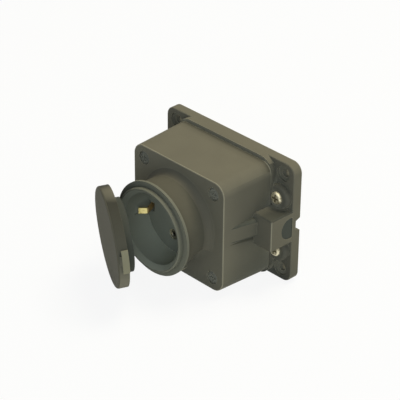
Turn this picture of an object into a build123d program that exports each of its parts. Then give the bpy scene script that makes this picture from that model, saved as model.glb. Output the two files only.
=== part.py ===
from build123d import *
import math
import os

# Wall socket box with a hinged lid, in millimetres.
# Origin: centre of the mounting face. The front looks along -Y, +Z is up and +X is right seen from
# the front. Every piece is drawn in a face frame, with x to the right, y up and z straight out of
# the wall, and then placed in the part's own frame.

# Gap between neighbouring pieces, and how far a cut runs past a face
piece_gap = 0.3
overrun = 1.0

# Base plate
flange_width = 93.0
flange_height = 69.0
flange_thickness = 5.5
flange_corner = 5.5
land_margin = 1.75
land_corner = 9.0
land_rise = 3.0
base_floor = 2.5
pocket_margin = 5.5
pocket_corner = 7.0
fixing_pitch_x = 78.0
fixing_pitch_y = 56.0
fixing_hole = 4.6
fixing_counterbore = 8.6
fixing_counterbore_depth = 1.6
edge_round = 0.8

# Cable hood on the right of the base, with its round entry
hood_top = 9.2
hood_bottom = -9.2
hood_front = 20.8
hood_edge_round = 1.2
entry_radius = 6.0
entry_height = 7.5
membrane_setback = 0.3
membrane_thickness = 1.6
membrane_clearance = 0.05
back_notch_width = 7.4
back_notch_neck = 5.0
back_notch_depth = 3.0
back_notch_length = 9.0

# Brass screws beside the hood
side_screw_offset = 3.8
side_screw_pitch = 30.8
side_boss_radius = 6.8
side_boss_rise = 3.6
side_boss_round = 1.6
side_head_diameter = 6.8
side_head_height = 1.5
side_thread = 4.0
side_nut_width = 7.0
side_nut_height = 2.4

# Cross recess and round edge of the pan-head screws
cross_span = 4.2
cross_arm = 1.0
cross_depth = 1.0
head_round = 1.1

# Housing
seal_thickness = 0.8
seal_inset = 0.9
seal_width = 2.0
box_width = 65.9
box_height = 63.3
box_front = 41.3
box_corner = 7.0
smallest_corner = 1.0
box_draft = 1.1
box_wall = 2.6
front_wall = 3.0
front_edge_round = 0.5
column_pitch_x = 50.6
column_pitch_y = 49.2
column_radius = 5.6
well_diameter = 7.4
well_depth = 2.4
cover_thread = 4.0
cover_head_diameter = 6.9
cover_head_height = 2.0
cover_grip = 5.5
collar_radius = 23.4
collar_length = 16.4
collar_foot = 4.0
fairing_width = 10.4
fairing_lift = 1.4
fairing_rise = 3.2
fairing_tip = 36.5
fairing_round = 2.0
socket_lift = 0.8

# Step at the foot of the collar
notch_start = -82.0
notch_end = -22.0
notch_depth = 2.0
notch_reach = 9.0
lug_angle = -45.0
lug_width = 4.4
lug_length = 4.5
lug_rise = 2.0

# Socket insert
insert_body_radius = 21.0
insert_clearance = 0.1
insert_flange_radius = 25.7
insert_flange = 1.0
lid_seal_thickness = 0.6
mouth_radius = 22.8
mouth_rise = 2.7
mouth_chamfer = 0.4
mouth_taper = 2.4
recess_radius = 19.5
recess_depth = 17.5
insert_rear = 24.0
pin_pitch = 19.0
pin_hole = 6.0
earth_slot_width = 5.4
earth_slot_outer = 19.9
earth_slot_inner = 14.2
earth_slot_top = 8.8
nut_radius = 25.0
nut_thickness = 4.0
nut_notch_count = 4
nut_notch_width = 4.0
nut_notch_depth = 1.5

# Contacts
sleeve_outer = 7.0
sleeve_bore = 4.9
sleeve_set_back = 0.5
sleeve_slit = 0.8
chamber_clearance = 0.25
terminal_size = 8.0
terminal_length = 7.0
terminal_screw = 3.5
terminal_head = 5.6
terminal_head_height = 2.0
terminal_screw_length = 5.0
cover_plate_thickness = 2.0
cover_plate_inset = 1.0
strip_width = 3.2
strip_thickness = 0.8
strip_eye_radius = 4.0
strip_mouth_drop = 9.7
strip_mouth_inset = 1.9
strip_peak_drop = 13.3
strip_peak_inset = 5.2
strip_leg_inset = 1.2
strip_heel_drop = 22.0
driver_slot = 0.9
driver_slot_depth = 0.9

# Lid, drawn shut; it stands open by lid_opening on the finished part
lid_radius = 26.3
lid_thickness = 5.7
lid_gap = 0.3
lid_edge_round = 1.2
lid_pocket_radius = 17.0
lid_pocket_depth = 2.6
plug_radius = 19.2
plug_wall = 2.0
plug_depth = 4.2
plug_root = 1.0
plug_cut = -8.0
lid_turn = 9.0
lid_opening = 29.4
hinge_reach = 28.2
hinge_height = 51.5
knuckle_radius = 1.9
knuckle_width = 8.0
pin_radius = 1.0
pin_clearance = 0.05
ear_thickness = 3.0
ear_gap = 0.3
ear_foot = 5.0
ear_root = 2.0
catch_width = 13.0
catch_height = 3.4
catch_thickness = 0.9
catch_turn = -6.0
nub_width = 5.0

# Heights that several pieces share, measured out from the wall
land_front = flange_thickness + land_rise
box_back = land_front + seal_thickness
collar_end = box_front + collar_length
seal_back = collar_end + insert_flange
mouth_front = collar_end + insert_flange + lid_seal_thickness + mouth_rise
floor_front = mouth_front - recess_depth
lid_face = mouth_front + lid_gap
sleeve_front = floor_front - sleeve_set_back
hood_side = flange_width / 2
land_width = box_width + 2 * land_margin
side_screw_x = land_width / 2 + side_screw_offset


def in_face_frame(shape):
    """Places a shape drawn as seen from the front into the part's frame."""
    return Plane(origin=(0, 0, 0), x_dir=(1, 0, 0), z_dir=(0, -1, 0)).location * shape


def in_socket_frame(shape):
    """Places a shape drawn round the socket's axis, which lies a little above the middle."""
    return in_face_frame(Pos(0, socket_lift) * shape)


def in_lid_frame(shape):
    """Places a shape of the lid's hinge line, which is turned a little round the socket's axis."""
    return in_socket_frame(shape.rotate(Axis.Z, lid_turn))


def opened(shape):
    """Swings a shape of the shut lid out to the angle at which the lid stands."""
    hinge = Axis((-hinge_reach, 0, hinge_height), (0, -1, 0))
    return shape.rotate(hinge, lid_opening)


def rounded_block(width, height, corner, bottom, top):
    """A block with rounded corners, from one distance off the wall to another."""
    outline = Plane.XY.offset(bottom) * RectangleRounded(width, height, corner)
    return extrude(outline, amount=top - bottom)


def drum(radius, bottom, top, x=0.0, y=0.0):
    """A cylinder that points out of the wall."""
    return extrude(Plane.XY.offset(bottom) * Pos(x, y) * Circle(radius), amount=top - bottom)


def cross_drum(radius, start, end, y, z):
    """A cylinder that lies along the width of the box."""
    return extrude(Plane.YZ.offset(start) * Pos(y, z) * Circle(radius), amount=end - start)


def bar_along_y(radius, half_length, x, z):
    """A cylinder along the height of the box, centred on the socket's axis."""
    outline = Plane.XZ.offset(-half_length) * Pos(x, z) * Circle(radius)
    return extrude(outline, amount=2 * half_length)


def block(x_low, x_high, y_low, y_high, z_low, z_high):
    """A plain block between six limits."""
    box = Box(x_high - x_low, y_high - y_low, z_high - z_low)
    return Pos((x_low + x_high) / 2, (y_low + y_high) / 2, (z_low + z_high) / 2) * box


def sector(radius, start, end, bottom, top):
    """A wedge of less than half a turn round the socket's axis, between two angles in degrees."""
    points = [(0, 0)]
    for angle in (math.radians(start), math.radians(end)):
        points.append((radius * math.cos(angle), radius * math.sin(angle)))
    return extrude(Plane.XY.offset(bottom) * make_face(Polyline(*points, close=True)), amount=top - bottom)


def corner_places(pitch_x, pitch_y):
    """The four corners of a rectangle round the axis."""
    return [(sx * pitch_x / 2, sy * pitch_y / 2) for sx in (-1, 1) for sy in (-1, 1)]


def box_side(z):
    """Half the box's width at a distance off the wall."""
    return box_width / 2 + box_draft * (box_front - z) / (box_front - box_back)


def drafted_box(inset, bottom, top):
    """The box's tapered outer form, drawn in by an inset."""
    outlines = []
    for z in (bottom, top):
        growth = 2 * box_draft * (box_front - z) / (box_front - box_back) - 2 * inset
        corner = max(box_corner - inset, smallest_corner)
        outline = RectangleRounded(box_width + growth, box_height + growth, corner)
        outlines.append(Plane.XY.offset(z) * outline)
    return loft(outlines)


def cross_recess(x, y, top):
    """The cross that a screwdriver fits, cut into a screw's head."""
    span = cross_span / 2
    arm = cross_arm / 2
    first = block(x - span, x + span, y - arm, y + arm, top - cross_depth, top + overrun)
    second = block(x - arm, x + arm, y - span, y + span, top - cross_depth, top + overrun)
    return first + second


def pan_screw(x, y, seat, head_diameter, head_height, thread, tip):
    """A pan-head screw with a cross recess; its head stands on the seat."""
    head = drum(head_diameter / 2, seat, seat + head_height, x, y)
    head = fillet(head.edges().group_by(Axis.Z)[-1], head_round)
    shank = drum(thread / 2, tip, seat + head_height / 2, x, y)
    return head + shank - cross_recess(x, y, seat + head_height)


def entry_bore(radius, start, end):
    """The round cable entry, flat where it meets the flange's front."""
    bore = cross_drum(radius, start, end, 0, entry_height)
    side = radius + overrun
    flat = block(start - overrun, end + overrun, -side, side, entry_height - side, flange_thickness)
    return bore - flat


def base_plate():
    """Mounting flange with the land under the box, the wiring pocket and the cable hood."""
    plate = rounded_block(flange_width, flange_height, flange_corner, 0, flange_thickness)
    plate = fillet(plate.edges().group_by(Axis.Z)[-1], edge_round)
    plate += rounded_block(land_width, flange_height, land_corner, base_floor, land_front)
    hood = block(box_width / 2, hood_side, hood_bottom, hood_top, base_floor, hood_front)
    front_edges = hood.edges().group_by(Axis.Z)[-1]
    side_edges = hood.edges().filter_by(Axis.Z).group_by(Axis.X)[-1]
    hood = fillet(front_edges + side_edges, hood_edge_round)
    raised = [hood]
    for side in (-1, 1):
        y = side * side_screw_pitch / 2
        boss = drum(side_boss_radius, base_floor, flange_thickness + side_boss_rise, side_screw_x, y)
        raised.append(fillet(boss.edges().group_by(Axis.Z)[-1], side_boss_round))
    for form in raised:
        plate += form - drafted_box(-piece_gap, land_front, box_front)
    pocket_width = land_width - 2 * pocket_margin
    pocket_height = flange_height - 2 * pocket_margin
    pocket = rounded_block(pocket_width, pocket_height, pocket_corner, base_floor, land_front + overrun)
    for x, y in corner_places(column_pitch_x, column_pitch_y):
        pocket -= drum(column_radius, 0, land_front + 2 * overrun, x, y)
    plate -= pocket
    for x, y in corner_places(column_pitch_x, column_pitch_y):
        plate -= drum(cover_thread / 2, land_front - cover_grip, land_front + overrun, x, y)
    for x, y in corner_places(fixing_pitch_x, fixing_pitch_y):
        plate -= drum(fixing_hole / 2, -overrun, flange_thickness + overrun, x, y)
        seat = flange_thickness - fixing_counterbore_depth
        plate -= drum(fixing_counterbore / 2, seat, flange_thickness + overrun, x, y)
    for side in (-1, 1):
        y = side * side_screw_pitch / 2
        plate -= drum(side_thread / 2, -overrun, box_front, side_screw_x, y)
        plate -= side_nut(y, piece_gap / 2, -overrun)
    plate -= entry_bore(entry_radius, pocket_width / 2 - overrun, hood_side + overrun)
    notch = [(-back_notch_width / 2, 0), (back_notch_width / 2, 0),
             (back_notch_neck / 2, back_notch_depth), (-back_notch_neck / 2, back_notch_depth)]
    notch_face = Plane.YZ.offset(hood_side - back_notch_length) * make_face(Polyline(*notch, close=True))
    return plate - extrude(notch_face, amount=back_notch_length + overrun)


def side_nut(y, clearance, bottom):
    """A square nut let into the back of the flange, or its seat when given a clearance."""
    half = side_nut_width / 2 + clearance
    x = side_screw_x
    nut = block(x - half, x + half, y - half, y + half, bottom, side_nut_height)
    return nut


def side_nuts():
    """The two square nuts behind the brass screws."""
    nuts = []
    for side in (-1, 1):
        y = side * side_screw_pitch / 2
        thread = drum(side_thread / 2, -overrun, box_front, side_screw_x, y)
        nuts.append(side_nut(y, 0, piece_gap) - thread)
    return nuts


def side_screws():
    """The two brass screws on their bosses beside the hood."""
    screws = []
    for side in (-1, 1):
        y = side * side_screw_pitch / 2
        seat = flange_thickness + side_boss_rise
        screws.append(pan_screw(side_screw_x, y, seat, side_head_diameter, side_head_height, side_thread,
                                piece_gap))
    return screws


def entry_membrane():
    """Rubber membrane that closes the cable entry."""
    outer = hood_side - membrane_setback
    return entry_bore(entry_radius - membrane_clearance, outer - membrane_thickness, outer) & block(
        0, flange_width, -entry_radius, entry_radius, flange_thickness + membrane_clearance, hood_front)


def base_gasket():
    """Flat seal between the land and the box."""
    outer = drafted_box(seal_inset, land_front, box_back)
    inner = drafted_box(seal_inset + seal_width, land_front - overrun, box_back + overrun)
    ring = outer - inner
    return ring - cross_drum(entry_radius, 0, flange_width, 0, entry_height)


def fairing():
    """Wedge on the box's side that runs out towards the cable hood."""
    foot = hood_front + piece_gap
    inside = box_width / 2 - box_wall / 2
    side = [(inside, foot), (box_side(foot) + fairing_rise, foot), (box_side(fairing_tip), fairing_tip),
            (inside, fairing_tip)]
    face = Plane.XZ.offset(-fairing_width / 2) * make_face(Polyline(*side, close=True))
    wedge = extrude(face, amount=fairing_width)
    ridge = wedge.faces().sort_by(Axis.X)[-1]
    long_edges = ridge.edges().filter_by(Axis.Y, reverse=True)
    return Pos(0, fairing_lift) * fillet(long_edges, fairing_round)


def collar():
    """Round collar on the box's front, with a swept foot and its bore still closed."""
    foot_radius = collar_radius + collar_foot
    with BuildSketch(Plane.XZ) as profile:
        with BuildLine():
            Line((0, box_front - front_wall), (0, collar_end))
            Line((0, collar_end), (collar_radius, collar_end))
            Line((collar_radius, collar_end), (collar_radius, box_front + collar_foot))
            CenterArc((foot_radius, box_front + collar_foot), collar_foot, 180, 90)
            Line((foot_radius, box_front), (foot_radius, box_front - overrun))
            Line((foot_radius, box_front - overrun), (0, box_front - front_wall))
        make_face()
    return revolve(profile.sketch, Axis.Z)


def collar_step():
    """The part of the collar's wall that is set back at its foot."""
    reach = collar_radius + collar_foot + 2 * overrun
    inner = collar_radius - notch_depth
    far_end = box_front + notch_reach
    ring = drum(reach, box_front, far_end) - drum(inner, box_front, far_end)
    return ring & sector(2 * reach, notch_start, notch_end, box_front, far_end)


def collar_lug():
    """Small lug on the collar, close under the socket's rim."""
    lug = block(collar_radius - overrun, collar_radius + lug_rise, -lug_width / 2, lug_width / 2,
                collar_end - piece_gap - lug_length, collar_end - piece_gap)
    return lug.rotate(Axis.Z, lug_angle)


def hinge_ears():
    """Two ears on the collar that hold the lid's pin."""
    ears = []
    start = knuckle_width / 2 + ear_gap
    for side in (-1, 1):
        y_low = min(side * start, side * (start + ear_thickness))
        root = ear_root - collar_radius
        low = hinge_height - knuckle_radius
        high = hinge_height + knuckle_radius
        foot = [(root, hinge_height - ear_foot), (root, high), (-hinge_reach, high), (-hinge_reach, low)]
        face = Plane.XZ.offset(-y_low - ear_thickness) * make_face(Polyline(*foot, close=True))
        ear = extrude(face, amount=ear_thickness)
        middle = y_low + ear_thickness / 2
        ear += Pos(0, middle) * bar_along_y(knuckle_radius, ear_thickness / 2, -hinge_reach, hinge_height)
        ears.append(ear)
    bore = bar_along_y(pin_radius, hinge_reach, -hinge_reach, hinge_height)
    return [ear - bore for ear in ears]


def housing():
    """Moulded box with its collar, screw columns, fairing and hinge ears."""
    outer = drafted_box(0, box_back, box_front)
    outer = fillet(outer.edges().group_by(Axis.Z)[-1], front_edge_round)
    cavity = drafted_box(box_wall, box_back - overrun, box_front - front_wall)
    for x, y in corner_places(column_pitch_x, column_pitch_y):
        cavity -= drum(column_radius, box_back - 2 * overrun, box_front, x, y)
    shell = outer + fairing() - cavity
    lifted = Pos(0, socket_lift)
    shell += lifted * collar()
    shell -= lifted * collar_step()
    shell += lifted * collar_lug()
    for ear in hinge_ears():
        shell += lifted * ear.rotate(Axis.Z, lid_turn)
    shell -= lifted * drum(insert_body_radius + insert_clearance, box_back, collar_end + overrun)
    for x, y in corner_places(column_pitch_x, column_pitch_y):
        shell -= drum(well_diameter / 2, box_front - well_depth, box_front + overrun, x, y)
        shell -= drum(cover_thread / 2, box_back - overrun, box_front, x, y)
    return shell - cross_drum(entry_radius, box_width / 4, box_width, 0, entry_height)


def cover_screws():
    """Four long screws at the bottom of the wells in the box's front."""
    screws = []
    for x, y in corner_places(column_pitch_x, column_pitch_y):
        seat = box_front - well_depth
        screws.append(pan_screw(x, y, seat, cover_head_diameter, cover_head_height, cover_thread,
                                land_front - cover_grip))
    return screws


def pin_places():
    """Heights of the two pin holes, line above and neutral below."""
    return [pin_pitch / 2, -pin_pitch / 2]


def socket_insert():
    """Socket insert: mouth, rim, recess with its floor, and the body with the contact chambers."""
    body = drum(insert_body_radius, insert_rear, collar_end)
    body += drum(insert_flange_radius, collar_end, seal_back)
    body += drum(mouth_radius, collar_end, mouth_front)
    body = chamfer(body.edges().group_by(Axis.Z)[-1], mouth_chamfer)
    body -= drum(recess_radius, floor_front, mouth_front + overrun)
    body = chamfer(body.edges().group_by(Axis.Z)[-1].sort_by(SortBy.LENGTH)[0], mouth_taper)
    for side in (-1, 1):
        low = min(side * earth_slot_inner, side * earth_slot_outer)
        high = max(side * earth_slot_inner, side * earth_slot_outer)
        body -= block(low, high, -earth_slot_width / 2, earth_slot_width / 2, insert_rear - overrun,
                      mouth_front - earth_slot_top)
    chamber = sleeve_outer / 2 + chamber_clearance
    for y in pin_places():
        body -= drum(pin_hole / 2, insert_rear, floor_front + overrun, 0, y)
        body -= drum(chamber, insert_rear - overrun, sleeve_front, 0, y)
        half = terminal_size / 2 + chamber_clearance
        body -= block(-half, half, y - half, y + half, insert_rear - overrun, insert_rear + terminal_length)
    return body - drum(terminal_screw / 2, insert_rear - overrun, strip_seat() + terminal_screw_length)


def insert_nut():
    """Ring nut that draws the insert's rim onto the collar from inside the box."""
    top = box_front - front_wall
    ring = drum(nut_radius, top - nut_thickness, top) - drum(insert_body_radius, 0, box_front)
    for index in range(nut_notch_count):
        notch = block(nut_radius - nut_notch_depth, nut_radius + overrun, -nut_notch_width / 2,
                      nut_notch_width / 2, 0, box_front)
        ring -= notch.rotate(Axis.Z, (index + 0.5) * 360 / nut_notch_count)
    return ring


def lid_seal():
    """Flat rubber ring on the insert's rim, round the mouth."""
    ring = drum(insert_flange_radius, seal_back, seal_back + lid_seal_thickness)
    return ring - drum(mouth_radius, collar_end, mouth_front)


def contact_sleeve(y):
    """Slit contact sleeve with its terminal block."""
    sleeve = drum(sleeve_outer / 2, insert_rear, sleeve_front, 0, y)
    half = terminal_size / 2
    block_front = insert_rear + terminal_length - chamber_clearance
    sleeve += block(-half, half, y - half, y + half, insert_rear, block_front)
    sleeve -= drum(sleeve_bore / 2, insert_rear + terminal_length, sleeve_front + overrun, 0, y)
    sleeve -= block(-sleeve_slit / 2, sleeve_slit / 2, y - sleeve_outer, y + sleeve_outer,
                    insert_rear + terminal_length + overrun, sleeve_front + overrun)
    screw_end = insert_rear + terminal_screw_length
    return sleeve - drum(terminal_screw / 2, insert_rear - overrun, screw_end, 0, y)


def contact_cover():
    """Plate behind the insert that keeps the sleeves in their chambers."""
    plate = drum(insert_body_radius - cover_plate_inset, insert_rear - cover_plate_thickness, insert_rear)
    for side in (-1, 1):
        low = min(side * earth_slot_inner, side * (insert_body_radius + overrun))
        high = max(side * earth_slot_inner, side * (insert_body_radius + overrun))
        plate -= block(low, high, -earth_slot_width / 2, earth_slot_width / 2, 0, insert_rear + overrun)
    for y in pin_places():
        plate -= drum(terminal_head / 2 + chamber_clearance, 0, insert_rear + overrun, 0, y)
    return plate - drum(terminal_screw / 2, 0, insert_rear + overrun)


def terminal_screw_at(y, seat):
    """Slotted terminal screw that points to the front from its seat."""
    head = drum(terminal_head / 2, seat - terminal_head_height, seat, 0, y)
    shank = drum(terminal_screw / 2, seat, seat + terminal_screw_length, 0, y)
    slot = block(-terminal_head, terminal_head, y - driver_slot / 2, y + driver_slot / 2,
                 seat - terminal_head_height - overrun, seat - terminal_head_height + driver_slot_depth)
    return head + shank - slot


def strip_seat():
    """Where the earth bow's crossbar lies, behind the contact cover."""
    return insert_rear - cover_plate_thickness - strip_thickness


def terminal_screws():
    """Terminal screws of the line and neutral sleeves and of the earth bow."""
    screws = [terminal_screw_at(y, insert_rear) for y in pin_places()]
    return screws + [terminal_screw_at(0, strip_seat())]


def earth_bow():
    """Bent strip with a spring contact on each side of the recess, joined behind the insert."""
    mouth = (recess_radius - strip_mouth_inset, mouth_front - strip_mouth_drop)
    peak = (recess_radius - strip_peak_inset, mouth_front - strip_peak_drop)
    heel = (recess_radius - strip_leg_inset, mouth_front - strip_heel_drop)
    foot = (heel[0], strip_seat())
    bow = block(-foot[0], foot[0], -strip_width / 2, strip_width / 2, foot[1], foot[1] + strip_thickness)
    bow += drum(strip_eye_radius, foot[1], foot[1] + strip_thickness)
    route = [mouth, peak, heel, foot]
    for start, end in zip(route[:-1], route[1:]):
        length = math.dist(start, end)
        angle = math.degrees(math.atan2(end[0] - start[0], end[1] - start[1]))
        leg = block(-strip_thickness, 0, -strip_width / 2, strip_width / 2, -strip_thickness / 4,
                    length + strip_thickness / 4)
        leg = Pos(start[0], 0, start[1]) * leg.rotate(Axis.Y, angle)
        bow += leg + mirror(leg, Plane.YZ)
    return bow - drum(terminal_screw / 2, 0, insert_rear, 0, 0)


def lid_cap():
    """Round lid with its rim and shallow pocket and the knuckle of its hinge."""
    cap = drum(lid_radius, lid_face, lid_face + lid_thickness)
    cap = fillet(cap.edges().group_by(Axis.Z)[-1], lid_edge_round)
    arm_inner = -hinge_reach + knuckle_radius
    arm_outer = -hinge_reach - knuckle_radius
    half = knuckle_width / 2
    arm_top = lid_face + lid_thickness - lid_edge_round
    cap += block(arm_outer, arm_inner, -half, half, hinge_height, arm_top)
    cap += block(arm_outer, -lid_radius + lid_edge_round, -half, half, lid_face, arm_top)
    cap += bar_along_y(knuckle_radius, half, -hinge_reach, hinge_height)
    cap -= bar_along_y(pin_radius + pin_clearance, half + overrun, -hinge_reach, hinge_height)
    cap -= drum(lid_pocket_radius, lid_face - overrun, lid_face + lid_pocket_depth)
    cap -= plug_ring(lid_face + plug_root)
    nub = block(lid_radius - overrun, lid_radius + catch_thickness, -nub_width / 2, nub_width / 2,
                lid_face + catch_height, lid_face + lid_thickness - lid_edge_round)
    cap += nub.rotate(Axis.Z, catch_turn / 2)
    return cap - lid_catch()


def plug_ring(root):
    """The ring that goes into the recess, open on the hinge's side so that it swings out freely."""
    ring = drum(plug_radius, lid_face - plug_depth, root)
    ring -= drum(plug_radius - plug_wall, lid_face - plug_depth - overrun, root + overrun)
    keep = block(plug_cut, lid_radius, -lid_radius, lid_radius, lid_face - plug_depth, root)
    return ring & keep


def lid_catch():
    """Plate let into the lid's rim opposite the hinge."""
    half_turn = math.degrees(catch_width / 2 / lid_radius)
    outer = lid_radius + catch_thickness
    inner = lid_radius - catch_thickness
    ring = drum(outer, lid_face, lid_face + catch_height) - drum(inner, lid_face, lid_face + catch_height)
    start = catch_turn - half_turn
    end = catch_turn + half_turn
    return ring & sector(2 * lid_radius, start, end, lid_face, lid_face + catch_height)


def hinge_pin():
    """Pin through the ears and the lid's knuckle."""
    half = knuckle_width / 2 + ear_gap + ear_thickness
    return bar_along_y(pin_radius, half, -hinge_reach, hinge_height)


def as_solids(shape):
    """The single solids of a shape or of a list of shapes."""
    if isinstance(shape, list):
        return [solid for item in shape for solid in as_solids(item)]
    return list(shape.solids())


pieces = {
    "base_plate": in_face_frame(base_plate()),
    "base_gasket": in_face_frame(base_gasket()),
    "entry_membrane": in_face_frame(entry_membrane()),
    "side_screws": [in_face_frame(screw) for screw in side_screws()],
    "side_nuts": [in_face_frame(nut) for nut in side_nuts()],
    "housing": in_face_frame(housing()),
    "cover_screws": [in_face_frame(screw) for screw in cover_screws()],
    "socket_insert": in_socket_frame(socket_insert()),
    "insert_nut": in_socket_frame(insert_nut()),
    "lid_seal": in_socket_frame(lid_seal()),
    "line_contact": in_socket_frame(contact_sleeve(pin_places()[0])),
    "neutral_contact": in_socket_frame(contact_sleeve(pin_places()[1])),
    "contact_cover": in_socket_frame(contact_cover()),
    "earth_bow": in_socket_frame(earth_bow()),
    "terminal_screws": [in_socket_frame(screw) for screw in terminal_screws()],
    "lid": in_lid_frame(opened(lid_cap())),
    "lid_plug": in_lid_frame(opened(plug_ring(lid_face + plug_root))),
    "lid_catch": in_lid_frame(opened(lid_catch())),
    "hinge_pin": in_lid_frame(hinge_pin()),
}

os.makedirs("parts", exist_ok=True)
for name, shape in pieces.items():
    solids = as_solids(shape)
    whole = solids[0] if len(solids) == 1 else Compound(children=solids)
    export_step(whole, f"parts/{name}.step")
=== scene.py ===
import math

import bpy
from mathutils import Matrix, Vector


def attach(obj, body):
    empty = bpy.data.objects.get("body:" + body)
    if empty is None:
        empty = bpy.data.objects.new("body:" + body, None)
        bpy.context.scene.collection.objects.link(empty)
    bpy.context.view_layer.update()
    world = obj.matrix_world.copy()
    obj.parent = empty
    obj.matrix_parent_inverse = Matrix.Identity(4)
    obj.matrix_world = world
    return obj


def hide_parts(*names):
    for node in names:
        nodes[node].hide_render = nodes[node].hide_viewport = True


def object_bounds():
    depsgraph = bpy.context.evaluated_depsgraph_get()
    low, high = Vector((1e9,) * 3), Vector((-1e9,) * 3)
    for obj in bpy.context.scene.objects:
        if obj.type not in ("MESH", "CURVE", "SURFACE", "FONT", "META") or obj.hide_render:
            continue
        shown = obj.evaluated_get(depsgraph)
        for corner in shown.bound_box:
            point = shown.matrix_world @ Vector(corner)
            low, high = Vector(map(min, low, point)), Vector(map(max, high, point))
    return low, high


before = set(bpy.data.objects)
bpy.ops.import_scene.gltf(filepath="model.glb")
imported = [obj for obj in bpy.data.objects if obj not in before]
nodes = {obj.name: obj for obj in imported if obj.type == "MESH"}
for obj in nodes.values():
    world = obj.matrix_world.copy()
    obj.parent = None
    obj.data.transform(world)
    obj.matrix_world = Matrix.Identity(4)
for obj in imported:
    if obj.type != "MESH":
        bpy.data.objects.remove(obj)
cad_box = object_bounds()
bpy.context.scene.view_settings.view_transform = "Standard"
bpy.ops.object.select_all(action="DESELECT")

# Camera: a long lens that looks down on the socket from its right front, at the
# photograph's angle. The distances are from the middle of the mounting face.
look_azimuth = math.radians(45.77)
look_elevation = math.radians(30.80)
look_roll = math.radians(0.54)
look_distance = 0.9345
look_right = 0.01849
look_up = 0.00552
focal_pixels = 1780.9
picture_width = 400
sensor_width = 36

towards = Vector((math.sin(look_azimuth) * math.cos(look_elevation),
                  -math.cos(look_azimuth) * math.cos(look_elevation), math.sin(look_elevation)))
level_right = Vector((math.cos(look_azimuth), math.sin(look_azimuth), 0))
level_up = towards.cross(level_right)
frame_right = math.cos(look_roll) * level_right + math.sin(look_roll) * level_up
frame_up = math.cos(look_roll) * level_up - math.sin(look_roll) * level_right
place = look_distance * towards - look_right * frame_right - look_up * frame_up
turn = Matrix((frame_right, frame_up, towards)).transposed()
bpy.ops.object.camera_add()
camera = bpy.context.object
camera.name = "camera"
camera.data.sensor_width = sensor_width
camera.data.lens = sensor_width * focal_pixels / picture_width
camera.matrix_world = Matrix.Translation(place) @ turn.to_4x4()
bpy.context.scene.camera = camera

# Studio: a pale floor that runs under the part, a white surround and two soft boxes. The
# camera sees floor and surround as white, and the floor keeps a faint shadow.
full_tone = (1, 1, 1, 1)
floor_colour = (0.82, 0.84, 0.84, 1)
floor_roughness = 0.9
floor_size = 6.0
floor_shadow_share = 0.10
surround_colour = (0.90, 1.0, 1.0, 1)
surround_strength = 0.20


def seen_from_outside(tree):
    """Is 1 for rays from the camera and for mirrored and refracted ones."""
    path = tree.nodes.new("ShaderNodeLightPath")
    seen = path.outputs["Is Camera Ray"]
    for kind in ("Is Transmission Ray", "Is Glossy Ray"):
        either = tree.nodes.new("ShaderNodeMath")
        either.operation = "MAXIMUM"
        tree.links.new(seen, either.inputs[0])
        tree.links.new(path.outputs[kind], either.inputs[1])
        seen = either.outputs[0]
    return seen


def new_material(name):
    """A material with Blender's standard surface."""
    material = bpy.data.materials.new(name)
    material.use_nodes = True
    return material


world = bpy.data.worlds.new("surround")
bpy.context.scene.world = world
world.use_nodes = True
tree = world.node_tree
ambient = tree.nodes["Background"]
ambient.inputs["Color"].default_value = surround_colour
ambient.inputs["Strength"].default_value = surround_strength
white = tree.nodes.new("ShaderNodeBackground")
white.inputs["Color"].default_value = full_tone
white.inputs["Strength"].default_value = 1
choice = tree.nodes.new("ShaderNodeMixShader")
tree.links.new(seen_from_outside(tree), choice.inputs["Fac"])
tree.links.new(ambient.outputs[0], choice.inputs[1])
tree.links.new(white.outputs[0], choice.inputs[2])
tree.links.new(choice.outputs[0], tree.nodes["World Output"].inputs["Surface"])

bpy.ops.mesh.primitive_plane_add(size=floor_size, location=(0, 0, cad_box[0][2]))
floor = bpy.context.object
floor.name = "floor"
floor_material = new_material("pale_floor")
tree = floor_material.node_tree
matt = tree.nodes["Principled BSDF"]
matt.inputs["Base Color"].default_value = floor_colour
matt.inputs["Roughness"].default_value = floor_roughness
glow = tree.nodes.new("ShaderNodeEmission")
glow.inputs["Color"].default_value = full_tone
glow.inputs["Strength"].default_value = 1
share = tree.nodes.new("ShaderNodeMath")
share.operation = "MULTIPLY"
share.inputs[1].default_value = 1 - floor_shadow_share
choice = tree.nodes.new("ShaderNodeMixShader")
tree.links.new(seen_from_outside(tree), share.inputs[0])
tree.links.new(share.outputs[0], choice.inputs["Fac"])
tree.links.new(matt.outputs[0], choice.inputs[1])
tree.links.new(glow.outputs[0], choice.inputs[2])
tree.links.new(choice.outputs[0], tree.nodes["Material Output"].inputs["Surface"])
floor.data.materials.append(floor_material)


def soft_box(name, direction, distance, size, power, colour):
    """A square lamp that faces the part."""
    bpy.ops.object.light_add(type="AREA", location=Vector(direction).normalized() * distance)
    lamp = bpy.context.object
    lamp.name = name
    lamp.data.size = size
    lamp.data.energy = power
    lamp.data.color = colour
    lamp.rotation_euler = Vector(direction).to_track_quat("Z", "Y").to_euler()


soft_box("top", direction=(0.12, 0.30, 1.0), distance=1.2, size=0.6, power=12.4, colour=(1.0, 0.925, 0.72))
soft_box("front", direction=(0.60, -0.70, 0.35), distance=1.6, size=1.2, power=8.9, colour=(0.81, 0.905, 1.0))
bpy.ops.object.select_all(action="DESELECT")

# Base plate: the mounting flange with its land, its bosses and the cable hood, one
# olive brown moulding with a fine satin grain. Painted shade darkens its front, bosses and
# hood, a painted shadow lies on the hood's top and beside the land, painted light lifts its
# deepest corners and the land's front, and a painted highlight lies on the hood's front edge.
case_colour = (0.160, 0.150, 0.114, 1)
# Painted light and shade of the case: a highlight on its edges, shade in its corners and light that lifts its
# deepest corners.
case_edge_highlight = (0.42, 0.39, 0.29, 1)
case_corner_shade = (0.078, 0.086, 0.074, 1)
case_deep_corner_light = (0.40, 0.38, 0.30, 1)
case_roughness = 0.62
case_edge_highlight_share = 0.9
case_grain = (0.00035, 0.00004)
corner_reach = 0.014
wide_corner_reach = 0.028
plate_edge = 0.00030


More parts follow.
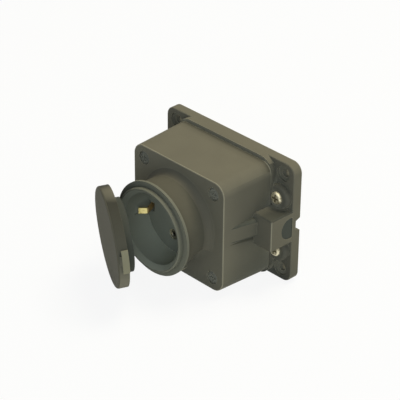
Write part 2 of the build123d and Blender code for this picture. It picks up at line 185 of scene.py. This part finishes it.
def pick(piece):
    """Selects one piece alone."""
    bpy.ops.object.select_all(action="DESELECT")
    piece.select_set(True)
    bpy.context.view_layer.objects.active = piece


def dressed(node, edge, body):
    """A copy of a CAD piece with rounded edges, which stands for the CAD piece."""
    same_point = 0.000002
    same_plane = math.radians(0.5)
    sharp_from = math.radians(32)
    mesh = nodes[node].data.copy()
    mesh.materials.clear()
    piece = bpy.data.objects.new(f"{node}_dressed", mesh)
    bpy.context.collection.objects.link(piece)
    pick(piece)
    bpy.ops.object.mode_set(mode="EDIT")
    bpy.ops.mesh.customdata_custom_splitnormals_clear()
    bpy.ops.mesh.select_all(action="SELECT")
    bpy.ops.mesh.remove_doubles(threshold=same_point)
    bpy.ops.mesh.dissolve_limited(angle_limit=same_plane)
    bpy.ops.object.mode_set(mode="OBJECT")
    rounding = piece.modifiers.new("edges", "BEVEL")
    rounding.width = edge
    rounding.segments = 2
    rounding.limit_method = "ANGLE"
    rounding.angle_limit = sharp_from
    rounding.use_clamp_overlap = True
    rounding.harden_normals = False
    bpy.ops.object.modifier_apply(modifier="edges")
    bpy.ops.object.shade_smooth_by_angle(angle=sharp_from)
    flat_faces = piece.modifiers.new("flat_faces", "WEIGHTED_NORMAL")
    flat_faces.keep_sharp = True
    bpy.ops.object.modifier_apply(modifier="flat_faces")
    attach(piece, body)
    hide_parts(node)
    return piece


def feed(tree, socket, source):
    """Links a socket to another node's socket, or sets it to a fixed value."""
    if isinstance(source, bpy.types.NodeSocket):
        tree.links.new(source, socket)
    else:
        socket.default_value = source


def blended(tree, share, first, second, kind="MIX"):
    """A colour made of two others, each of them fixed or from another node."""
    mix = tree.nodes.new("ShaderNodeMix")
    mix.data_type = "RGBA"
    mix.blend_type = kind
    for name, source in (("Factor", share), ("A", first), ("B", second)):
        feed(tree, mix.inputs[name], source)
    return mix.outputs["Result"]


def stretched(tree, value, low, high, new_low=0, new_high=1):
    """A value moved from one range to another and held inside it."""
    stretch = tree.nodes.new("ShaderNodeMapRange")
    for name, number in (("From Min", low), ("From Max", high), ("To Min", new_low), ("To Max", new_high)):
        stretch.inputs[name].default_value = number
    tree.links.new(value, stretch.inputs["Value"])
    return stretch.outputs["Result"]


def calculated(tree, kind, first, second):
    """One step of arithmetic on two numbers, each of them fixed or from another node."""
    step = tree.nodes.new("ShaderNodeMath")
    step.operation = kind
    feed(tree, step.inputs[0], first)
    feed(tree, step.inputs[1], second)
    return step.outputs[0]


def own_place(tree):
    """The place of a point in the piece's own coordinates."""
    return tree.nodes.new("ShaderNodeTexCoord").outputs["Object"]


def noise(tree, spot, detail):
    """An even noise with spots of one size, in metres, and finer ones in them."""
    pattern = tree.nodes.new("ShaderNodeTexNoise")
    pattern.inputs["Scale"].default_value = 1 / spot
    pattern.inputs["Detail"].default_value = detail
    tree.links.new(own_place(tree), pattern.inputs["Vector"])
    return pattern.outputs["Fac"]


def relief(tree, height, depth):
    """Turns the surface's normal as a relief of one depth does."""
    bump = tree.nodes.new("ShaderNodeBump")
    bump.inputs["Strength"].default_value = 1
    bump.inputs["Distance"].default_value = depth
    tree.links.new(height, bump.inputs["Height"])
    tree.links.new(bump.outputs["Normal"], tree.nodes["Principled BSDF"].inputs["Normal"])


def edge_paint_share(tree, painted_edge_share):
    """How much of the painted edge colour a point takes because it lies on an edge, up to the share given."""
    edge_radius = 0.0005
    flat_likeness = 0.995
    edge_likeness = 0.86
    rounded = tree.nodes.new("ShaderNodeBevel")
    rounded.samples = 6
    rounded.inputs["Radius"].default_value = edge_radius
    surface = tree.nodes.new("ShaderNodeNewGeometry")
    alike = tree.nodes.new("ShaderNodeVectorMath")
    alike.operation = "DOT_PRODUCT"
    tree.links.new(rounded.outputs["Normal"], alike.inputs[0])
    tree.links.new(surface.outputs["Normal"], alike.inputs[1])
    return stretched(tree, alike.outputs["Value"], flat_likeness, edge_likeness, 0, painted_edge_share)


def moulding(name, colour, painted_edge_colour=case_edge_highlight, corner_shade=case_corner_shade, painted_edge_share=case_edge_highlight_share, reach=corner_reach, deep_corner_light=None,
             roughness=case_roughness, grain=case_grain):
    """Moulded plastic with fine grain, faint mottling, a painted edge colour and painted shade in the
    corners.

    Painted light, where it is given, lifts the shade in the deepest corners. The edge colour is a
    painted highlight where it is paler than the plastic and painted shade where it is darker.
    """
    shine = 0.04
    mottle_spot = 1 / 70
    mottle_detail = 4
    mottle_swing = 0.10
    unshaded_openness = 0.95
    fully_shaded_openness = 0.25
    corner_shade_share = 0.60
    lift_start_openness = 0.55
    full_lift_openness = 0.12
    corner_light_share = 0.9
    smoother = 0.06
    rougher = 0.08
    grain_size, grain_depth = grain
    grain_detail = 3
    material = new_material(name)
    tree = material.node_tree
    shader = tree.nodes["Principled BSDF"]
    shader.inputs["Specular IOR Level"].default_value = shine

    mottle = noise(tree, mottle_spot, mottle_detail)
    darker = [(1 - mottle_swing) * part for part in colour[:3]] + [1]
    lighter = [(1 + mottle_swing) * part for part in colour[:3]] + [1]
    tone = blended(tree, mottle, darker, lighter)

    # Painted shade: by ambient occlusion, the corner shade tone darkens the plastic where little light
    # reaches.
    corners = tree.nodes.new("ShaderNodeAmbientOcclusion")
    corners.samples = 8
    corners.inputs["Distance"].default_value = reach
    openness = corners.outputs["AO"]
    corner_shaded = stretched(tree, openness, unshaded_openness, fully_shaded_openness, 0, corner_shade_share)
    tone = blended(tree, corner_shaded, tone, corner_shade)
    # Painted light lifts the shade in the deepest corners.
    if deep_corner_light:
        corner_lit = stretched(tree, openness, lift_start_openness, full_lift_openness, 0, corner_light_share)
        tone = blended(tree, corner_lit, tone, deep_corner_light)
    # Painted edge colour: a highlight where it is paler than the plastic, shade where it is darker.
    edge_painted = calculated(tree, "MULTIPLY", edge_paint_share(tree, painted_edge_share), mottle)
    tree.links.new(blended(tree, edge_painted, tone, painted_edge_colour), shader.inputs["Base Color"])

    sheen = stretched(tree, mottle, 0, 1, roughness - smoother, roughness + rougher)
    tree.links.new(sheen, shader.inputs["Roughness"])
    relief(tree, noise(tree, grain_size, grain_detail), grain_depth)
    return material


def toned(material, tones):
    """Multiplies a material's colour by tones from another node."""
    tree = material.node_tree
    colour = tree.nodes["Principled BSDF"].inputs["Base Color"]
    plain = colour.links[0].from_socket
    tree.links.new(blended(tree, 1, plain, tones, "MULTIPLY"), colour)


def tone_row(tree, value, stops):
    """Tones at stops between 0 and 1, blended between the stops."""
    row = tree.nodes.new("ShaderNodeValToRGB")
    elements = row.color_ramp.elements
    for element, (position, tone) in zip(elements, (stops[0], stops[-1])):
        element.position = position
        element.color = tone
    for position, tone in stops[1:-1]:
        elements.new(position).color = tone
    tree.links.new(value, row.inputs["Fac"])
    return row.outputs["Color"]


def own_axis(tree, axis):
    """The place of a point along one of the piece's own axes."""
    parts = tree.nodes.new("ShaderNodeSeparateXYZ")
    tree.links.new(own_place(tree), parts.inputs[0])
    return parts.outputs[axis]


def graded(material, axis, stops):
    """Multiplies a material's colour by tones at places along one of the piece's own axes."""
    tree = material.node_tree
    low = stops[0][0]
    high = stops[-1][0]
    along = stretched(tree, own_axis(tree, axis), low, high)
    shares = [((place - low) / (high - low), tone) for place, tone in stops]
    toned(material, tone_row(tree, along, shares))


def finish(piece, material):
    """Gives a piece its material."""
    piece.data.materials.clear()
    piece.data.materials.append(material)


def paint(piece, choose):
    """Gives each face the material that a rule chooses by the face's centre and normal."""
    for face in piece.data.polygons:
        material = choose(face.center, face.normal)
        if material.name not in piece.data.materials:
            piece.data.materials.append(material)
        face.material_index = piece.data.materials.find(material.name)


# Faces are told apart by their place in the part: x runs right, y into the wall and z up.
flange_front = -0.0055
land_front = -0.0085
level_slack = 0.0005
land_front_reach = 0.0340
land_side_from = 0.0320
land_side_to = 0.0352
boss_x = 0.0385
boss_z = 0.0154
boss_reach = 0.0074
boss_side = 0.0348
hood_side = 0.0335
hood_foot = -0.0070
hood_reach = 0.0100
hood_edge_from = 0.58
hood_edge_to = 0.82
hood_edge_forwards = 0.45
hood_top_upwards = 0.4
hood_front_forwards = 0.7
square_on = 0.9
half_on = 0.5
# Painted light and shade on the base plate: light for its deepest corners and the land's front, shadow on the
# hood's top and beside the land, shade on its front faces, bosses and the land's lower part, and a highlight
# on the hood's edge.
plate_deep_corner_light = (0.24, 0.228, 0.18, 1)
shadow_colour = (0.076, 0.077, 0.064, 1)
front_shade_colour = (0.126, 0.118, 0.092, 1)
boss_shade_colour = (0.100, 0.098, 0.080, 1)
land_lit_colour = (0.24, 0.226, 0.172, 1)
land_corner_shade = (0.15, 0.145, 0.115, 1)
pale_highlight_colour = (0.285, 0.265, 0.20, 1)
shaded_tone = (0.60, 0.61, 0.62, 1)
flange_tones = ((-0.0340, shaded_tone), (-0.0120, full_tone))
land_tones = ((0.0300, shaded_tone), (0.0325, full_tone))

# The base plate's usual moulding, with painted shade in its corners and painted light in its deepest ones.
corner_shaded_material = moulding("corner_shaded_moulding", case_colour, reach=wide_corner_reach, deep_corner_light=plate_deep_corner_light)
# Painted shadow on the hood's top and on the land's side strip.
shadow_material = moulding("shadow_moulding", shadow_colour, corner_shade=shadow_colour, painted_edge_share=0.2, deep_corner_light=case_deep_corner_light)
# Painted shade on the flange's and the hood's front faces, darker towards the bottom.
front_shade_material = moulding("front_shade_moulding", front_shade_colour, painted_edge_share=0.4, deep_corner_light=plate_deep_corner_light)
graded(front_shade_material, "Z", flange_tones)
# Painted shade on the bosses.
boss_shade_material = moulding("boss_shade_moulding", boss_shade_colour, corner_shade=boss_shade_colour, painted_edge_share=0.2, deep_corner_light=case_deep_corner_light)
# Painted light lifts the land's front strip; painted shade darkens it below the box's top.
land_material = moulding("land_moulding", land_lit_colour, corner_shade=land_corner_shade)
graded(land_material, "Z", land_tones)
# Painted highlight for the hood's front edge and the front's edges; the collar's lug takes the same pale
# colour.
pale_highlight_material = moulding("pale_highlight_moulding", pale_highlight_colour, corner_shade=pale_highlight_colour, painted_edge_share=0)


def plate_finish(at, facing):
    """The base plate's finish at a face. What it faces is told by the parts of its normal."""
    on_hood = at.x > hood_side and abs(at.z) < hood_reach and at.y < hood_foot
    # Painted highlight on the hood's front edge.
    if on_hood and hood_edge_from < facing.x < hood_edge_to and facing.y < -hood_edge_forwards:
        return pale_highlight_material
    # Painted shadow on the hood's top.
    if on_hood and facing.z > hood_top_upwards:
        return shadow_material
    # Painted shade on the hood's front.
    if on_hood and facing.y < -hood_front_forwards:
        return front_shade_material
    # Painted shadow on the land's side strip beside the box.
    beside_land = land_front - level_slack < at.y < flange_front + level_slack
    if beside_land and land_side_from < at.x < land_side_to and facing.x > half_on:
        return shadow_material
    # Painted light on the land's front.
    if facing.y < -square_on and abs(at.y - land_front) < level_slack and abs(at.x) < land_front_reach:
        return land_material
    # Painted shade on the flange's front.
    if facing.y < -square_on and abs(at.y - flange_front) < level_slack:
        return front_shade_material
    # Painted shade on the bosses.
    from_boss = math.hypot(at.x - boss_x, abs(at.z) - boss_z)
    if from_boss < boss_reach and at.x > boss_side and at.y < flange_front - level_slack:
        return boss_shade_material
    return corner_shaded_material


base_plate = dressed("base_plate", plate_edge, "box")
finish(base_plate, corner_shaded_material)
paint(base_plate, plate_finish)

# Housing: the box with its collar, screw wells, side fairing and hinge ears, one
# moulding of the same material, drawn from its tool towards the wall. Painted light makes
# its front and sides paler, painted shade darkens the box towards the wall, the collar, its
# foot and the fairing's faces, a painted shadow lies under the fairing, and painted
# highlights lie on the front's edges.
housing_edge = 0.00030
box_side = 0.0300
box_front = -0.0409
# Where the painted highlight lies on the front's edges.
highlight_front = -0.0408
highlight_inner_x = 0.0300
highlight_inner_z = 0.0290
fairing_side = 0.0325
fairing_rear = -0.0205
fairing_tip = -0.0368
fairing_reach = 0.0072
fairing_foot = -0.0038
# Where the painted shadow under the fairing lies.
fairing_shadow_front = -0.0372
fairing_shadow_narrow = 0.00002
fairing_shadow_wide = 0.0036
socket_lift = 0.0008
collar_front = -0.0450
collar_inner = 0.0228
collar_outer = 0.0240
foot_front = -0.0415
foot_outer = 0.0300
lug_place = Vector((0.0173, -0.0552, -0.0165))
lug_reach = 0.0032
highlight_tilt = 0.99
front_tilt = 0.95
foot_tilt = 0.02
crease_tilt = 0.30
front_lit_colour = (0.182, 0.170, 0.130, 1)
front_corner_shade = (0.125, 0.120, 0.096, 1)
side_lit_colour = (0.179, 0.168, 0.128, 1)
collar_shade_colour = (0.108, 0.102, 0.078, 1)
foot_shade_colour = (0.130, 0.122, 0.095, 1)
foot_corner_shade = (0.110, 0.106, 0.086, 1)
fairing_shade_colour = (0.080, 0.084, 0.070, 1)
rear_shade = (0.86, 0.86, 0.86, 1)
rearmost_shade = (0.48, 0.49, 0.50, 1)
front_far_shade = (0.78, 0.79, 0.80, 1)
side_rear_shade = (0.84, 0.85, 0.86, 1)
side_middle_shade = (0.90, 0.90, 0.91, 1)
fairing_shadow_tone = (0.60, 0.61, 0.60, 1)
box_rear_tones = ((-0.0150, full_tone), (-0.0117, rear_shade), (-0.0095, rearmost_shade))
front_tones = ((-0.0111, full_tone), (0.0330, front_far_shade))
side_rear_tones = ((-0.0405, full_tone), (-0.0280, side_rear_shade))
side_middle_tones = ((-0.0120, full_tone), (fairing_foot, side_middle_shade))
fairing_shadow_tones = ((0, full_tone), (0.03, fairing_shadow_tone), (0.65, fairing_shadow_tone), (1, full_tone))

# Painted shade darkens the box towards the wall.
case_material = moulding("case_moulding", case_colour, deep_corner_light=case_deep_corner_light)
graded(case_material, "Y", box_rear_tones)
# Painted light makes the front paler, and painted shade darkens it towards the right.
front_material = moulding("front_moulding", front_lit_colour, corner_shade=front_corner_shade, deep_corner_light=case_deep_corner_light)
graded(front_material, "X", front_tones)
# Painted light makes the sides paler; painted shade darkens them towards the wall and above the fairing's
# foot.
side_material = moulding("side_moulding", side_lit_colour, reach=wide_corner_reach, deep_corner_light=case_deep_corner_light)
graded(side_material, "Y", side_rear_tones)
graded(side_material, "Z", side_middle_tones)
# Painted shade darkens the collar.
collar_material = moulding("collar_moulding", collar_shade_colour, painted_edge_share=0.35)
# Painted shade darkens the collar's foot.
foot_material = moulding("foot_moulding", foot_shade_colour, corner_shade=foot_corner_shade, painted_edge_share=0.35)
# Painted shade on the fairing's upper and lower faces.
fairing_shade_material = moulding("fairing_shade_moulding", fairing_shade_colour, corner_shade=fairing_shade_colour, painted_edge_share=0)


def fairing_shadow_band(material):
    """Paints the fairing's shadow: a dark band under the fairing that widens towards the wall, as the fairing
    does.
    """
    tree = material.node_tree
    width = stretched(tree, own_axis(tree, "Y"), fairing_shadow_front, fairing_rear, fairing_shadow_narrow, fairing_shadow_wide)
    below = calculated(tree, "SUBTRACT", fairing_foot, own_axis(tree, "Z"))
    share = calculated(tree, "DIVIDE", below, width)
    toned(material, tone_row(tree, share, fairing_shadow_tones))


fairing_shadow_band(side_material)


def housing_finish(at, facing):
    """The housing's finish at a face."""
    # Painted highlight on the front's edges.
    near_outline = abs(at.x) > highlight_inner_x or abs(at.z) > highlight_inner_z
    if near_outline and at.y < highlight_front and abs(facing.y) < highlight_tilt:
        return pale_highlight_material
    # The collar's lug takes the same pale colour.
    if (at - lug_place).length < lug_reach and math.hypot(at.x, at.z) > collar_outer:
        return pale_highlight_material
    from_axis = math.hypot(at.x, at.z - socket_lift)
    # Painted shade on the collar's foot.
    if collar_inner < from_axis < foot_outer and at.y < foot_front and -front_tilt < facing.y < -foot_tilt:
        return foot_material
    # Painted shade on the collar.
    if collar_inner < from_axis < collar_outer and at.y < collar_front and abs(facing.y) < half_on:
        return collar_material
    # Painted shade on the fairing's upper and lower faces.
    on_fairing = at.x > fairing_side and fairing_tip < at.y < fairing_rear
    if on_fairing and abs(at.z) < fairing_reach and abs(facing.z) > crease_tilt:
        return fairing_shade_material
    # Painted light on the front.
    if facing.y < -front_tilt and at.y < box_front:
        return front_material
    # Painted light on the sides.
    if at.x > box_side and facing.x > square_on:
        return side_material
    return case_material


housing = dressed("housing", housing_edge, "box")
finish(housing, case_material)
pick(housing)
bpy.ops.object.mode_set(mode="EDIT")
bpy.ops.mesh.select_all(action="SELECT")
bpy.ops.mesh.bisect(plane_co=(0, highlight_front, 0), plane_no=(0, 1, 0))
bpy.ops.object.mode_set(mode="OBJECT")
paint(housing, housing_finish)

# Socket insert: dark grey green moulding with the rim, the mouth and the recess, held
# by a ring nut from behind, with the sleeves' cover at its back. Painted light lifts the
# recess, its floor and its corners, painted shade darkens the recess upwards, and the
# insert's edges are painted a shade darker.
insert_colour = (0.180, 0.180, 0.142, 1)
insert_edge_shade = (0.10, 0.10, 0.08, 1)
insert_corner_shade = (0.060, 0.066, 0.056, 1)
insert_roughness = 0.55
insert_grain = (0.0003, 0.00002)
insert_edge = 0.00018
recess_lit_colour = (0.315, 0.330, 0.270, 1)
recess_corner_lift = (0.50, 0.52, 0.42, 1)
recess_top_shade = (0.62, 0.62, 0.63, 1)
recess_shade_tones = ((-0.0190, full_tone), (0.0120, recess_top_shade))
recess_corner_reach = 0.020
recess_floor_lit_tone = (0.240, 0.252, 0.206, 1)
recess_radius = 0.0219
recess_front = -0.0619
recess_floor = -0.0440
slot_rear = -0.0300
slot_inner = 0.0130

# The insert's edges are painted a shade darker, and painted shade lies in its corners.
insert_material = moulding("insert_moulding", insert_colour, insert_edge_shade, insert_corner_shade,
                           roughness=insert_roughness, grain=insert_grain)
# Painted light lifts the recess, and its corners more.
recess_material = moulding("recess_moulding", recess_lit_colour, corner_shade=recess_corner_lift, painted_edge_share=0,
                           reach=recess_corner_reach, roughness=insert_roughness, grain=insert_grain)
# Painted shade darkens the recess upwards.
graded(recess_material, "Z", recess_shade_tones)
# Painted light lifts the recess floor.
lit_recess_floor_material = moulding("recess_floor", recess_floor_lit_tone, corner_shade=recess_floor_lit_tone, painted_edge_share=0,
                                 roughness=insert_roughness, grain=insert_grain)


def insert_finish(at, facing):
    """The socket insert's finish at a face."""
    from_axis = math.hypot(at.x, at.z - socket_lift)
    in_recess = recess_front < at.y < recess_floor
    in_slot = recess_front < at.y < slot_rear and from_axis > slot_inner
    if from_axis >= recess_radius or not (in_recess or in_slot):
        return insert_material
    # Painted light on the recess floor and walls.
    if in_recess and facing.y < -square_on:
        return lit_recess_floor_material
    return recess_material


socket_insert = dressed("socket_insert", insert_edge, "box")
finish(socket_insert, insert_material)
paint(socket_insert, insert_finish)
for name in ("insert_nut", "contact_cover"):
    finish(nodes[name], insert_material)

# Rubber pieces: the flat seals under the box and on the insert's rim, the membrane in
# the cable entry and the ring on the lid, dull and dark. The seal on the rim has taken the
# insert's tone, and the seal under the box is pressed out and painted paler, as painted
# light in the shaded gap under the box.
rubber_colour = (0.074, 0.080, 0.069, 1)
rubber_edge_highlight = (0.075, 0.08, 0.07, 1)
rubber_roughness = 0.62
rubber_grain = (0.0006, 0.00002)
gasket_lit_colour = (0.20, 0.193, 0.152, 1)
gasket_edge = 0.00008
gasket_squeeze = (1.022, 1, 1.0226)

# The seals' edges take a painted highlight barely paler than the rubber.
rubber_material = moulding("seal_rubber", rubber_colour, rubber_edge_highlight, rubber_colour, painted_edge_share=0.6,
                           roughness=rubber_roughness, grain=rubber_grain)
# Painted light on the seal under the box lifts the shade in the gap there.
gasket_material = moulding("gasket_rubber", gasket_lit_colour, corner_shade=gasket_lit_colour, painted_edge_share=0,
                           roughness=rubber_roughness, grain=rubber_grain)
for name in ("entry_membrane", "lid_plug"):
    finish(nodes[name], rubber_material)
finish(nodes["lid_seal"], insert_material)
gasket = dressed("base_gasket", gasket_edge, "box")
finish(gasket, gasket_material)
pick(gasket)
bpy.ops.object.mode_set(mode="EDIT")
bpy.ops.mesh.select_all(action="SELECT")
bpy.ops.transform.resize(value=gasket_squeeze, center_override=(0, 0, 0))
bpy.ops.object.mode_set(mode="OBJECT")

# Side screws: two turned brass machine screws beside the hood, run into square nuts in
# the base's back. They are mottled by tarnish, with painted shade in the cross of each head.
brass_colour = (0.86, 0.80, 0.58, 1)
brass_dull = (0.16, 0.135, 0.075, 1)
cross_shade_colour = (0.20, 0.165, 0.085, 1)
cross_shade_dull = (0.12, 0.10, 0.055, 1)
cross_reach = 0.00215
cross_top = 0.0006
cross_bottom = 0.0020


def metal(name, colour, dull, roughness, marks_depth=0.00001, bareness=1):
    """Metal with fine marks and patchy tarnish, the less metallic the less bare it is."""
    tarnish_spot = 1 / 420
    tarnish_detail = 5
    tarnish_from = 0.45
    tarnish_full = 0.72
    tarnish_roughness = 0.2
    marks_spot = 1 / 2600
    marks_detail = 2
    material = new_material(name)
    tree = material.node_tree
    shader = tree.nodes["Principled BSDF"]
    shader.inputs["Metallic"].default_value = bareness
    tarnish = noise(tree, tarnish_spot, tarnish_detail)
    cover = stretched(tree, tarnish, tarnish_from, tarnish_full)
    tree.links.new(blended(tree, cover, colour, dull), shader.inputs["Base Color"])
    gloss = stretched(tree, cover, 0, 1, roughness, roughness + tarnish_roughness)
    tree.links.new(gloss, shader.inputs["Roughness"])
    relief(tree, noise(tree, marks_spot, marks_detail), marks_depth)
    return material


brass_material = metal("brass", brass_colour, brass_dull, roughness=0.50, marks_depth=0.00010)
# Painted shade for the cross of each head.
cross_shade_material = metal("cross_shade_brass", cross_shade_colour, cross_shade_dull, roughness=0.6, bareness=0.2)
side_screws = nodes["side_screws"]
head_front = min(point.co.y for point in side_screws.data.vertices)


def side_screw_finish(at, facing):
    """The side screws' finish at a face."""
    in_cross = math.hypot(at.x - boss_x, abs(at.z) - boss_z) < cross_reach
    sunk = at.y > head_front + cross_top or abs(facing.y) < half_on
    # Painted shade in the cross.
    if in_cross and sunk and at.y < head_front + cross_bottom:
        return cross_shade_material
    return brass_material


finish(side_screws, brass_material)
paint(side_screws, side_screw_finish)

# Cover screws: four pan-head steel screws at the bottom of the wells, which hold the
# housing to the base. They are blackened, and painted light lifts the shade in their crosses
# and corners.
blackened_colour = (0.165, 0.165, 0.140, 1)
blackened_corner_lift = (0.20, 0.20, 0.17, 1)
blackened_deep_corner_light = (0.40, 0.39, 0.31, 1)
# Painted light lifts the shade in the screws' crosses and corners.
blackened_material = moulding("blackened_screws", blackened_colour, corner_shade=blackened_corner_lift, painted_edge_share=0,
                              reach=0.003, deep_corner_light=blackened_deep_corner_light, roughness=0.7, grain=(0.0004, 0.00002))
finish(nodes["cover_screws"], blackened_material)

# Plated pieces: the square nuts in the base's back, the terminal screws and the hinge
# pin, pressed or turned from steel and then plated.
steel_colour = (0.22, 0.22, 0.20, 1)
steel_dull = (0.12, 0.12, 0.105, 1)
steel_material = metal("plated_steel", steel_colour, steel_dull, roughness=0.30)
for name in ("side_nuts", "terminal_screws", "hinge_pin"):
    finish(nodes[name], steel_material)

# Earth bow: a spring strip folded from gilt brass that sits in a slot of the recess's
# wall. The gilt is bright near the mouth and the strip is tarnished below.
gilt_colour = (0.80, 0.70, 0.30, 1)
gilt_dull = (0.56, 0.46, 0.16, 1)
tarnished_colour = (0.50, 0.33, 0.12, 1)
tarnished_dull = (0.30, 0.20, 0.08, 1)
gilt_end = -0.0490
gilt_material = metal("contact_gilt", gilt_colour, gilt_dull, roughness=0.30)
tarnished_material = metal("tarnished_brass", tarnished_colour, tarnished_dull, roughness=0.45, bareness=0.3)


def earth_bow_finish(at, facing):
    """The earth bow's finish at a face."""
    return tarnished_material if at.y > gilt_end else gilt_material


finish(nodes["earth_bow"], gilt_material)
paint(nodes["earth_bow"], earth_bow_finish)

# Contact sleeves: two sleeves folded from brass sheet, with spring fingers rolled in at
# the mouth, just under the floor of the recess. Little of the dark bore shows, and the left
# of each lip is painted bright brass as a glint.
sleeve_colour = (0.20, 0.19, 0.13, 1)
sleeve_dull = (0.12, 0.12, 0.09, 1)
sleeve_edge = 0.00005
lip_heights = {"line_contact": 0.0103, "neutral_contact": -0.0087}
lip_depth = -0.0435
lip_radius = 0.00205
lip_thickness = 0.00085
lip_reach = 0.0010
glint_from = -0.0013
sleeve_material = metal("sleeve_brass", sleeve_colour, sleeve_dull, roughness=0.30, bareness=0.35)


def sleeve_finish(at, facing):
    """A contact sleeve's finish at a face."""
    # Painted glint: the left of each lip takes the bright brass.
    glint_side = abs(at.y - lip_depth) < lip_reach and at.x < glint_from
    return brass_material if glint_side else sleeve_material


for name, height in lip_heights.items():
    sleeve = dressed(name, sleeve_edge, "box")
    bpy.ops.object.select_all(action="DESELECT")
    bpy.ops.mesh.primitive_torus_add(major_radius=lip_radius, minor_radius=lip_thickness, major_segments=36,
                                     minor_segments=12, location=(0, lip_depth, height),
                                     rotation=(math.radians(90), 0, 0))
    lip = bpy.context.object
    bpy.ops.object.transform_apply(location=True, rotation=True, scale=True)
    bpy.ops.object.shade_smooth()
    lip.select_set(True)
    sleeve.select_set(True)
    bpy.context.view_layer.objects.active = sleeve
    bpy.ops.object.join()
    finish(sleeve, sleeve_material)
    paint(sleeve, sleeve_finish)

# Lid: the round cap with its knuckle, moulded from the case's material and hung on the
# hinge pin. Its face is painted a shade darker than the case. Its rim is painted paler:
# lightest low down as a painted reflection, darkened upwards by painted shade, and light
# again at the top as a painted highlight.
lid_edge = 0.00030
lid_centre = Vector((-0.01020, -0.07723, -0.00082))
lid_facing = Vector((-0.4849, -0.8712, -0.0768))
rim_inner = 0.0250
rim_tilt = 0.4
# Painted shade darkens the lid's face below the case's colour.
lid_shade_colour = (0.112, 0.106, 0.081, 1)
rim_lit_colour = (0.222, 0.209, 0.160, 1)
rim_low_reflection = (0.86, 0.86, 0.86, 1)
rim_middle_shade = (0.43, 0.44, 0.45, 1)
rim_high_shade = (0.24, 0.25, 0.26, 1)
# Painted reflection low on the rim, painted shade darkening it upwards, and a painted highlight at its top.
rim_tones = ((-0.01201, rim_low_reflection), (0.00397, rim_middle_shade), (0.02409, rim_high_shade),
             (0.02630, full_tone))
lid_material = moulding("lid_moulding", lid_shade_colour)
rim_material = moulding("rim_moulding", rim_lit_colour)
graded(rim_material, "Z", rim_tones)


def lid_finish(at, facing):
    """The lid's finish at a face."""
    # The rim takes its painted reflection, shade and highlight.
    on_rim = abs(facing.dot(lid_facing)) < rim_tilt and (at - lid_centre).length > rim_inner
    return rim_material if on_rim else lid_material


lid = dressed("lid", lid_edge, "cover")
finish(lid, lid_material)
paint(lid, lid_finish)

# Lid catch: the pale plate let into the lid's rim on the side away from the hinge,
# moulded from a lighter plastic.
catch_colour = (0.26, 0.245, 0.17, 1)
catch_edge_highlight = (0.36, 0.34, 0.25, 1)
# The catch's edges take a painted highlight.
catch_material = moulding("catch_plastic", catch_colour, catch_edge_highlight, painted_edge_share=0.6, roughness=0.5,
                          grain=(0.0004, 0.00002))
finish(nodes["lid_catch"], catch_material)
